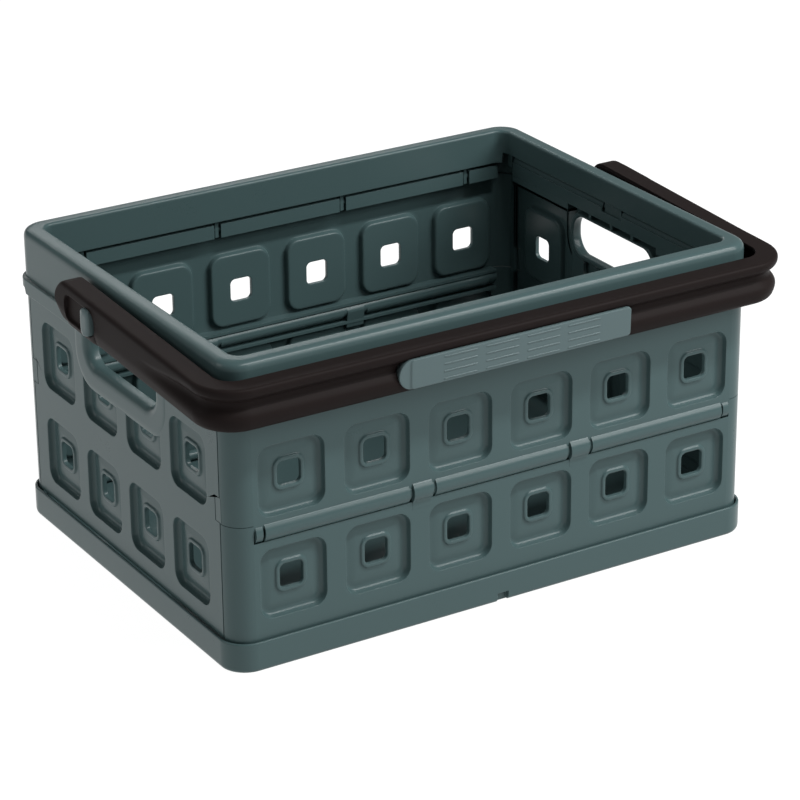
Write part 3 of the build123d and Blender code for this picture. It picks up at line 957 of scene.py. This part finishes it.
@dataclass
class EndPanel:
    """An end panel that hangs from the frame, with eight squares and a hand hole."""

    pitch: float = 73.5
    half_width: float = 158.1
    bottom: float = 24.6
    middle: float = 114.0
    top: float = 208.0
    lower_centre: float = 72.0
    upper_centre: float = 156.0
    grip_z: float = 189.0
    grip_half_y: float = 57.5
    grip_half_z: float = 17.0
    grip_corner: float = 15.0
    surround_y: float = 79.0
    surround_z: float = 38.0
    surround_corner: float = 30.0
    surround_top: float = 205.0
    surround_lift: float = 3.0
    flange_x: float = 230.8
    flange_y: float = 155.0
    flange_top: float = 204.0
    tab_window: tuple[float, float] = (120.0, 142.0)
    hinge_x: float = 229.5
    hinge_z: float = 225.0
    barrel_radius: float = 4.5
    barrel_end: float = 150.0
    pin_end: float = 156.0
    web_x: tuple[float, float] = (224.0, 225.6)
    strip_x: tuple[float, float] = (225.0, 233.5)
    strip_bottom: float = 213.0
    pivot_half: float = 14.0
    ribs: tuple = ((-150, -64, 205), (-32, -28, 209), (-2, 2, 209), (29, 33, 209), (64, 150, 205))

    def plate(self) -> Shells:
        """The pierced plate, whose run along Y is u and whose depth goes inwards from WALL_X.

        Returns:
            Its closed surface.
        """
        slab = Slab()
        square = EmbossedSquare()
        for centre_z, low_z, high_z in (
            (self.lower_centre, self.bottom, self.middle),
            (self.upper_centre, self.middle, self.top),
        ):
            for i in range(4):
                u = self.pitch * (i - 1.5)
                low = -self.half_width if i == 0 else u - self.pitch / 2
                high = self.half_width if i == 3 else u + self.pitch / 2
                loops = square.loops((u, centre_z), (low, low_z), (high, high_z))
                slab.pierced(np.stack([WALL_X - loops[..., 2], loops[..., 0], loops[..., 1]], -1))
        shells = Shells()
        slab.close(shells)
        return shells

    def surround(self) -> Shells:
        """The hand hole's smooth surround and the rounded tube behind it, as outlines stacked round the wall.

        An outline is a rounded rectangle grown by its spread and cut level at the ceiling.

        Returns:
            Its closed surface.
        """
        hole = [(7.6, -0.25), (5.4, 0.0), (3.5, 0.6), (2.0, 1.6), (0.9, 2.9), (0.25, 4.6), (0.0, 6.6), (0.0, 10.4)]
        hole += [(0.3, 11.1), (1.0, 11.5), (3.0, 11.5), (4.0, 11.2), (4.4, 10.4), (4.4, 7.8), (5.0, 5.8), (6.6, 4.3)]
        hole += [(8.6, 3.3), (11.0, 2.8)]
        edge = [(-2.0, SKIN), (0.0, SKIN), (0.0, 2.0), (-0.3, 1.3), (-1.0, 0.6), (-2.4, 0.05), (-4.4, -0.2)]
        edge += [(-7.0, -0.25)]
        loops = []
        for profile, half_y, half_z, corner, ceiling in (
            (edge, self.surround_y, self.surround_z, self.surround_corner, self.surround_top),
            (hole, self.grip_half_y, self.grip_half_z, self.grip_corner, self.surround_top + self.surround_lift),
        ):
            for spread, depth in profile:
                loop = rounded_loop(half_y + spread, half_z + spread, corner + spread, PLAN_ARC, PLAN_STRAIGHT)
                height = np.minimum(loop[:, 1] + self.grip_z, ceiling + 0.4 * min(spread, 0.0))
                loops.append(np.column_stack([np.full(len(loop), WALL_X - depth), loop[:, 0], height]))
        shells = Shells()
        shells.tube(np.stack(loops), ends=False)
        return shells

    def hanger(self) -> Shells:
        """The edge flanges, the hinge barrel and the ribbed strip that hang the panel from the frame.

        Returns:
            Their surfaces.
        """
        shells = Shells()
        face = WALL_X - 0.6
        x, z = self.hinge_x, self.hinge_z
        web_near, web_far = self.web_x
        strip_near, strip_far = self.strip_x
        for side in (-1, 1):
            near, far = span(side, self.flange_y, self.half_width)
            shells.box((self.flange_x, near, self.bottom), (face, far, self.tab_window[0]))
            shells.box((self.flange_x, near, self.tab_window[1]), (face, far, self.flange_top))
            near, far = span(side, self.flange_y, 161.2)
            shells.box((self.flange_x, near, self.bottom), (233.4, far, self.flange_top))
            low, high = span(side, self.pivot_half, self.barrel_end)
            shells.rod((x, low, z), (x, high, z), self.barrel_radius)
            shells.box((strip_near, low, self.strip_bottom), (strip_far, high, z))
        half = self.pivot_half
        shells.box((web_near, -half, self.strip_bottom - 0.2), (web_far, half, 221.2))
        for side in (-1, 1):
            start, end = span(side, half - 0.5, self.barrel_end)
            shells.box((web_near, start, self.strip_bottom - 0.2), (web_far, end, z - 0.2))
        shells.box((strip_near, -half - 0.5, self.strip_bottom), (strip_far, half + 0.5, self.strip_bottom + 3))
        for start, end, low in self.ribs:
            shells.box((web_near, start, low), (strip_far, end, self.strip_bottom + 0.2))
        shells.rod((x, -self.pin_end, z), (x, self.pin_end, z), PIN_RADIUS, PIN_SIDES)
        shells.box((self.flange_x, -self.flange_y, self.bottom), (face, self.flange_y, self.bottom + SKIN))
        for side in (-1, 1):
            start, end = span(side, 64.0, self.barrel_end)
            shells.box((web_near, start, 205.0), (WALL_X - 2.0, end, self.top))
        return shells

    def build(self) -> None:
        """Makes both end panels, the left one turned half way round."""
        cutter = Shells()
        grow = 7.6
        hole = rounded_loop(
            self.grip_half_y + grow, self.grip_half_z + grow, self.grip_corner + grow, PLAN_ARC, PLAN_STRAIGHT
        )
        rings = [np.column_stack([np.full(len(hole), x), hole[:, 0], hole[:, 1] + self.grip_z]) for x in (215.0, 242.0)]
        cutter.tube(np.stack(rings))
        low, high = self.tab_window
        for side in (-1, 1):
            near, far = span(side, 151.5, 170.0)
            cutter.box((233.6, near, low + 0.5), (242.0, far, high - 0.5))
        for body, name, flip in ((Body.RIGHT, "right_end", False), (Body.LEFT, "left_end", True)):
            parts = [self.plate(), cutter, self.surround(), self.hanger()]
            plate, tool, surround, hanger = [p.turned() if flip else p for p in parts]
            piece = plate.mesh(f"{name}_plate")
            carved(piece, tool)
            publish(piece, body, Slot.CRATE, (f"{name}_panel",))
            publish(surround.mesh(f"{name}_hand_hole"), body, Slot.CRATE, bevel=0.0)
            publish(hanger.mesh(f"{name}_hanger"), body, Slot.CRATE)


# ------------------------------------------------------------------ carry handle


@dataclass
class CarryHandle:
    """The swinging handle: a channel-section bail with a long groove, its grip pad and its pivots."""

    pivot_z: float = 231.0
    inner_x: float = 243.0
    inner_y: float = 181.5
    depth: float = 18.0
    half_height: float = 18.6
    lower_height: float = 17.4
    wall: float = 2.6
    inner_corner: float = 16.0
    tail: float = 57.0
    tail_round: float = 16.0
    rib_columns: tuple[float, ...] = (-180, -120, -60, 0, 60, 120, 180)
    rib_rows: tuple[float, ...] = (-60, -100, -140)
    rib_reach: tuple[float, float] = (0.6, 8.8)
    rib_half_height: float = 17.0
    pocket_depth: float = 3.0
    pocket_half: float = 10.6
    pocket_rear: float = 40.0
    groove_floor: float = 11.4
    tilt: float = 2.3
    pad_width: float = 90.6
    pad_drop: float = 1.0
    pad_lines: tuple[float, ...] = (-52, -15, 22, 59)
    knob_round: float = 0.55
    knob_fold: float = 0.22

    def tilted(self, shells: Shells) -> Shells:
        """Turns the surfaces by the tilt about the pivot axis, which lies along X.

        Args:
            shells: surfaces of the level handle.

        Returns:
            The same surfaces, tilted.
        """
        angle = math.radians(self.tilt)
        c, s = math.cos(angle), math.sin(angle)
        turn = np.array([[1, 0, 0], [0, c, -s], [0, s, c]])
        centre = np.array([0, 0, self.pivot_z])
        shells.points = [(p - centre) @ turn.T + centre for p in shells.points]
        return shells

    def path(self) -> tuple[np.ndarray, np.ndarray, np.ndarray]:
        """The bail's inner line from the left tail round the front to the right tail.

        Returns:
            Points (M, 2), outward directions (M, 2) and how far along its arm each is: the arm's
            own Y, which is the corner's start all along the front.
        """
        corner_y = -(self.inner_y - self.inner_corner)
        tail = self.tail - self.tail_round * (1 - np.sin(np.linspace(math.pi / 2, 0, 9)))
        pocket = np.concatenate([self.pocket_rear - 8 * (1 - np.cos(np.linspace(0, 1.5, 7))), [30.0, 20.0, 8.0]])
        nose = -self.pocket_half * np.sin(np.linspace(0, math.pi / 2, 9))
        run = np.concatenate([tail, pocket, nose, [-16.0, -20.0, -26.0], np.linspace(-32, corner_y, 18)])
        run = np.unique(np.round(run, 3))[::-1]
        turn = np.linspace(0, math.pi / 2, 17)[1:]
        arm = np.column_stack([np.full(len(run), -self.inner_x), run])
        arm_out = np.column_stack([-np.ones(len(run)), np.zeros(len(run))])
        out = np.column_stack([-np.cos(turn), -np.sin(turn)])
        bend = np.array([-(self.inner_x - self.inner_corner), corner_y]) + self.inner_corner * out
        left, left_out = np.concatenate([arm, bend]), np.concatenate([arm_out, out])
        along = np.concatenate([run, np.full(len(bend), corner_y)])
        middle = np.linspace(left[-1, 0], 0, 8)[1:]
        left = np.concatenate([left, np.column_stack([middle, np.full(len(middle), -self.inner_y)])])
        left_out = np.concatenate([left_out, np.tile([0.0, -1.0], (len(middle), 1))])
        along = np.concatenate([along, np.full(len(middle), corner_y)])
        flip = np.array([-1.0, 1.0])
        points = np.concatenate([left, left[-2::-1] * flip])
        outward = np.concatenate([left_out, left_out[-2::-1] * flip])
        return points, outward, np.concatenate([along, along[-2::-1]])

    def section(self, along: np.ndarray) -> np.ndarray:
        """The bail's section at each station, as a closed outline in outward and upward distances.

        The groove fades out over the front of the arms, the pocket round the knob is cut as deep as
        a stadium outline is open there, the hollow closes up into the solid arm block, and the tail
        loses height as a quarter circle does.

        Args:
            along: each station's Y on its arm.

        Returns:
            Array (stations, outline, 2).
        """
        one = np.ones(len(along))
        groove = 1 - smooth((along + 172.0) / 90.0)
        front = np.clip((along + self.pocket_half) / self.pocket_half, 0, 1)
        rear = np.clip((self.pocket_rear - along) / 8.0, 0, 1)
        open_half = self.pocket_half * np.sqrt(1 - (1 - front) ** 2) * np.sqrt(1 - (1 - rear) ** 2) ** 0.5
        pocket = np.clip(open_half / 3.0, 0, 1) * self.pocket_depth
        inside = open_half > 0.01
        lost = np.clip(along - (self.tail - self.tail_round), 0, self.tail_round)
        high = self.half_height - self.tail_round + np.sqrt(self.tail_round**2 - lost**2)
        high = np.maximum(high, 3.2)
        solid = smooth((along + 44.0) / 12.0)
        floor = self.depth - groove * (self.depth - self.groove_floor)
        outer = self.depth * one
        fade = 1 - groove
        groove_w = [11.8 - 6.0 * fade, 6.6 - 3.0 * fade, 2.0 - 1.5 * fade, -4.8 * one]
        pocket_w = [open_half, open_half - 1.0, -open_half + 1.0, -open_half]
        w = [np.where(inside, p, g * np.minimum(high / self.half_height, 1)) for p, g in zip(pocket_w, groove_w)]
        w[1] = np.where(inside, np.maximum(w[1], 0.02), w[1])
        w[2] = np.where(inside, np.minimum(w[2], -0.02), w[2])
        low_u = np.where(inside, self.depth - pocket, floor)
        hollow = (self.depth - self.wall) * (1 - solid)
        deep = np.minimum(hollow, np.maximum(low_u - self.wall, 0)) * (1 - solid)
        low = np.minimum(high, self.lower_height)
        top_in, low_in = high - self.wall, low - self.wall
        corners = [
            (0 * one, high, 0.8),
            (outer, high, 4.4),
            (outer, w[0], 4.4),
            (low_u, w[1], 3.0),
            (low_u, w[2], 3.0),
            (outer, w[3], 5.0),
            (outer - 3.0, -low, 9.0),
            (0 * one, -low, 0.8),
            (0 * one, -low_in, 0.8),
            (hollow, -low_in, 2.0),
            (hollow, np.maximum(-7.2 * one, -low_in * 0.7), 1.0),
            (deep, -0.2 * one, 1.0),
            (deep, np.minimum(8.2 * one, top_in * 0.4), 1.0),
            (hollow, np.minimum(14.7 * one, top_in * 0.8), 1.0),
            (hollow, top_in, 1.0),
            (0 * one, top_in, 0.8),
        ]
        keys = np.stack([np.stack([u, w_], -1) for u, w_, _ in corners], 1)
        return rounded_section(keys, np.array([c[2] for c in corners]), 5)

    def bail(self) -> Shells:
        """The handle's moulding: the section carried along the path, with ribs across its hollow.

        A point of the section lies at its outward distance from the path's point and its upward
        distance from the pivot's height.

        Returns:
            Its surfaces, tilted.
        """
        points, outward, along = self.path()
        section = self.section(along)
        plan = points[:, None] + outward[:, None] * section[..., :1]
        grid = np.concatenate([plan, section[..., 1:] + self.pivot_z], -1)
        shells = Shells()
        shells.tube(grid)
        low, high = self.pivot_z - self.rib_half_height, self.pivot_z + self.rib_half_height
        near, far = self.rib_reach
        for x in self.rib_columns:
            shells.box((x - 1, -self.inner_y - far, low), (x + 1, -self.inner_y - near, high))
        for side in (-1, 1):
            start, end = span(side, self.inner_x + near, self.inner_x + far)
            for y in self.rib_rows:
                shells.box((start, y - 1, low), (end, y + 1, high))
        return self.tilted(shells)

    def pad(self) -> Shells:
        """The grip pad: outlines that step out over the front bar, and four groups of fine raised lines.

        Each outline is given by its distance in front of the bar's inner line, half height, half
        width and corner at the rounded left end, and corner at the square right end.

        Returns:
            Its surfaces, tilted.
        """
        rise = [(8.5, 11.0, 104.2, 10.8, 3.0), (17.8, 12.0, 105.0, 11.9, 3.0), (18.4, 12.0, 104.9, 11.8, 3.0)]
        rise += [(18.62, 11.95, 104.3, 11.2, 3.0), (18.66, 11.9, 101.0, 8.0, 3.0), (18.66, 11.85, 96.8, 4.0, 2.9)]
        rise += [(18.9, 11.8, 95.6, 3.0, 2.8), (19.45, 11.7, 94.9, 2.6, 2.6), (19.63, 11.4, 94.5, 2.4, 2.4)]
        rise += [(19.66, 10.6, 93.6, 2.0, 2.0)]
        shells = Shells()
        loops = []
        for u, half_w, half_x, corner, square in rise:
            rounded = rounded_loop(half_x, half_w, corner, 12, 4)
            plain = rounded_loop(self.pad_width + half_w, half_w, square, 12, 4)
            loop = np.where(rounded[:, :1] > 0, plain, rounded)
            plane = np.full(len(loop), -self.inner_y - u)
            loops.append(np.column_stack([loop[:, 0], plane, loop[:, 1] + self.pivot_z - self.pad_drop]))
        shells.tube(np.stack(loops))
        for x in self.pad_lines:
            for line in range(4):
                z = self.pivot_z + 7.8 - 6.0 * line
                y = -self.inner_y - 19.4
                shells.rod((x - 14.5, y, z), (x + 14.5, y, z), 0.75, 12)
        return self.tilted(shells)

    def knob(self) -> Shells:
        """The right pivot: the shank, a collar and a rounded square head whose outlines shrink to a crown.

        The head's outline is the signed power knob_round of the cosine and sine of the angle, and
        its crown is folded back at both sides by knob_fold of its half width.

        Returns:
            Its surfaces.
        """
        shells = Shells()
        shells.rod((227.0, 0, self.pivot_z), (257.5, 0, self.pivot_z), 6.0)
        shells.rod((237.05, 0, self.pivot_z), (242.6, 0, self.pivot_z), 10.0)
        angle = np.linspace(0, 2 * math.pi, 48, endpoint=False)
        c, s = np.cos(angle), np.sin(angle)
        square = np.column_stack([np.sign(c) * np.abs(c) ** self.knob_round, np.sign(s) * np.abs(s) ** self.knob_round])
        crown = [(257.3, 7.2, 10.8), (263.4, 7.1, 10.7), (264.4, 6.8, 10.4), (264.9, 6.3, 9.9), (265.1, 5.4, 9.0)]
        crown += [(265.1, 3.0, 6.0)]
        fold = self.knob_fold * np.abs(square[:, 0])
        loops = [
            np.column_stack([x - fold * y * (x > 260), square[:, 0] * y - 1.0, self.pivot_z + 1.0 + square[:, 1] * z])
            for x, y, z in crown
        ]
        shells.tube(np.stack(loops))
        return shells

    def build(self) -> None:
        """Makes the bail, the pad and both pivots."""
        publish(self.bail().mesh("bail_moulding"), Body.HANDLE, Slot.HANDLE, ("bail_handle",), bevel=0.0)
        publish(self.pad().mesh("grip_pad_cover"), Body.HANDLE, Slot.PAD, ("grip_pad",), bevel=0.0)
        knob = self.knob()
        publish(knob.mesh("right_pivot"), Body.CRATE, Slot.PAD, ("right_pivot_stud",), bevel=0.3)
        publish(knob.turned().mesh("left_pivot"), Body.CRATE, Slot.PAD, ("left_pivot_stud",), bevel=0.3)


# ------------------------------------------------------------------ studio


@dataclass
class Studio:
    """Pale floor, white surroundings, soft boxes and the camera. Distances in metres, angles in degrees."""

    camera_place: tuple[float, float, float] = (-1.2169, -2.0354, 1.1378)
    azimuth: float = 31.21
    elevation: float = 23.51
    roll: float = -0.58
    lens: float = 142.7
    floor_half: float = 12.0

    def floor(self) -> None:
        """A large plain floor just under the crate."""
        shells = Shells()
        half = self.floor_half / MM
        shells.box((-half, -half, -20.0), (half, half, 0.0))
        floor = shells.mesh("floor")
        graph = Graph("floor_paint")
        shader = graph.node(
            "ShaderNodeBsdfPrincipled",
            {},
            {
                "Base Color": (0.12, 0.12, 0.12, 1.0),
                "Roughness": 0.9,
                "Specular IOR Level": 0.0,
                "Emission Color": (1.0, 1.0, 1.0, 1.0),
                "Emission Strength": 0.97,
            },
        )
        floor.data.materials.append(graph.finish(shader))

    def light(self, name: str, place: tuple, aim: tuple, size: tuple, watts: float) -> None:
        """Adds one oblong soft box.

        Args:
            name: the light's name.
            place: where it hangs.
            aim: X and Y of the point it faces.
            size: its width and height.
            watts: its power.
        """
        data = bpy.data.lights.new(name, "AREA")
        data.shape = "RECTANGLE"
        data.size, data.size_y, data.energy = size[0], size[1], watts
        lamp = bpy.data.objects.new(name, data)
        lamp.location = place
        lamp.rotation_euler = (Vector((*aim, 0.12)) - Vector(place)).to_track_quat("-Z", "Y").to_euler()
        bpy.context.scene.collection.objects.link(lamp)

    def camera(self) -> None:
        """Adds the camera from its azimuth, elevation and roll: right and up are turned by the roll about the view."""
        az, el, roll = (math.radians(a) for a in (self.azimuth, self.elevation, self.roll))
        view = Vector((math.sin(az) * math.cos(el), math.cos(az) * math.cos(el), -math.sin(el)))
        right = Vector((math.cos(az), -math.sin(az), 0))
        up = right.cross(view)
        turned_right = right * math.cos(roll) + up * math.sin(roll)
        turned_up = up * math.cos(roll) - right * math.sin(roll)
        data = bpy.data.cameras.new("camera")
        data.lens, data.sensor_width, data.clip_end = self.lens, 36.0, 60.0
        camera = bpy.data.objects.new("camera", data)
        matrix = Matrix((turned_right, turned_up, -view)).transposed().to_4x4()
        matrix.translation = Vector(self.camera_place)
        camera.matrix_world = matrix
        bpy.context.scene.collection.objects.link(camera)
        bpy.context.scene.camera = camera

    def build(self) -> None:
        """Sets up the floor, the surroundings, the lights and the camera."""
        self.floor()
        world = bpy.data.worlds.new("studio_white")
        world.use_nodes = True
        background = world.node_tree.nodes["Background"]
        background.inputs["Color"].default_value = (1.0, 1.0, 1.0, 1.0)
        background.inputs["Strength"].default_value = 0.2
        bpy.context.scene.world = world
        self.light("front_right_box", (1.7, -1.9, 1.7), (0.0, 0.0), (1.3, 1.3), 52.0)
        self.light("left_back_box", (-2.3, 0.9, 1.35), (0.0, 0.0), (1.2, 1.2), 12.0)
        self.light("top_strip", (1.0, -1.05, 2.2), (1.0, 0.0), (2.2, 0.2), 62.0)
        self.light("back_strip", (0.5, 2.6, 1.5), (0.5, 0.0), (2.4, 0.3), 11.0)
        view = bpy.context.scene.view_settings
        view.view_transform, view.look, view.exposure = "Standard", "None", 0.0
        self.camera()


def main() -> None:
    """Builds the crate's pieces in order, then the studio, and logs each one as it is done."""
    for assembly in (BaseTray(), LongWall(), TopFrame(), EndPanel(), CarryHandle(), Studio()):
        assembly.build()
        log.info("%s done", type(assembly).__name__)


if __name__ == "__main__":
    main()
